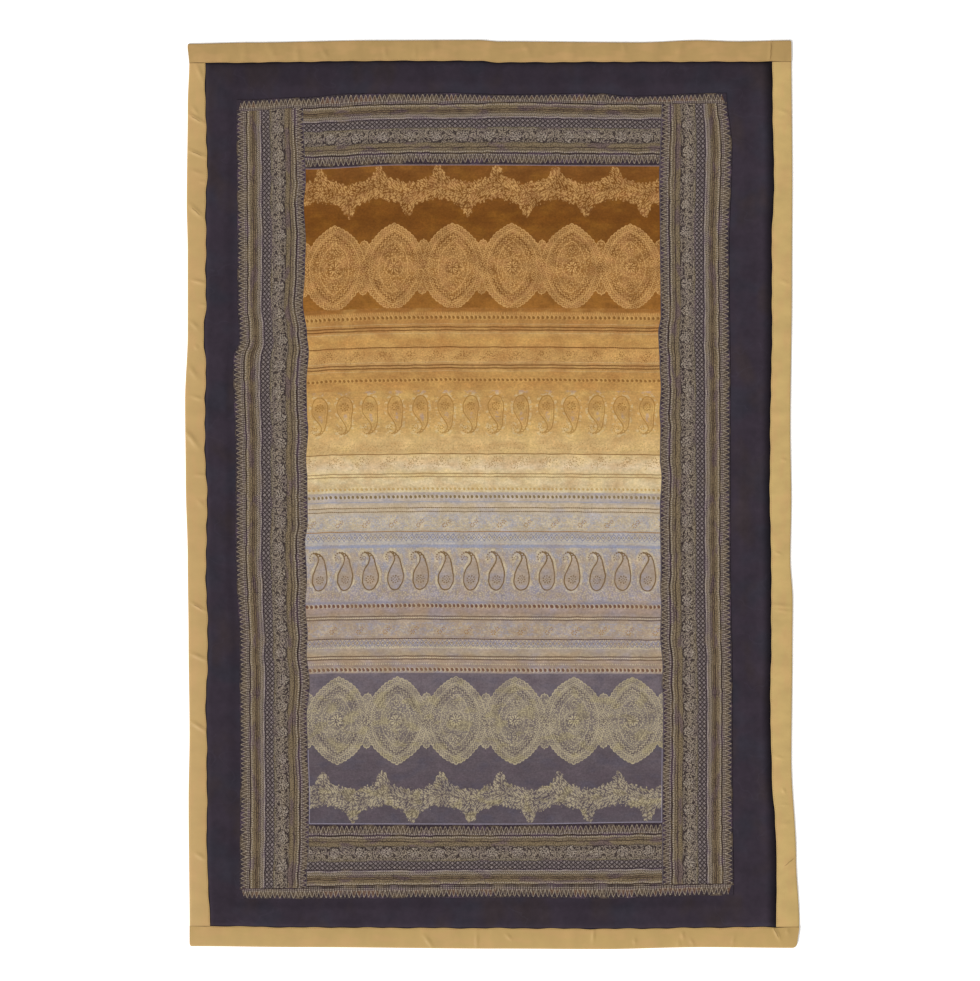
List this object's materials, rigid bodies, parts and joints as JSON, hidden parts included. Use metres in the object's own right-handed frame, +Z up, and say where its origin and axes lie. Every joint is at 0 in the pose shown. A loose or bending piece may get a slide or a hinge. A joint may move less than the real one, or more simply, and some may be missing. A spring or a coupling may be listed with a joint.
{
  "type": "throw blanket",
  "caption": "Rectangular printed throw lying flat, face up: padded dark ground, banded centre panel, striped borders with toothed edgings and a satin binding folded over every edge.",
  "frame": {"origin": "middle of the outline's extremes, on the surface that the throw lies on", "axes": "+X to the right of the print, +Y towards the head of the print, +Z up out of its face"},
  "size_m": [1.4222, 2.105, 0.0091],
  "materials": {
    "ground_cloth": "matt padded cotton, dark purple-charcoal",
    "panel_print": "printed cotton, bands from dark gold over cream and lilac grey to dark purple",
    "border_print": "printed cotton, taupe and olive stripes on dark purple",
    "edging_print": "printed cotton, saw-toothed edging on dark purple",
    "binding_satin": "gold satin with a soft sheen"
  },
  "bodies": {
    "root": {"ground": "ground_cloth", "centre_panel": "panel_print", "border_left": "border_print", "border_right": "border_print", "border_head": "border_print", "border_foot": "border_print", "edging_head": "edging_print", "edging_foot": "edging_print", "binding_head": "binding_satin", "binding_foot": "binding_satin", "binding_left": "binding_satin", "binding_right": "binding_satin"}
  },
  "joints": []
}
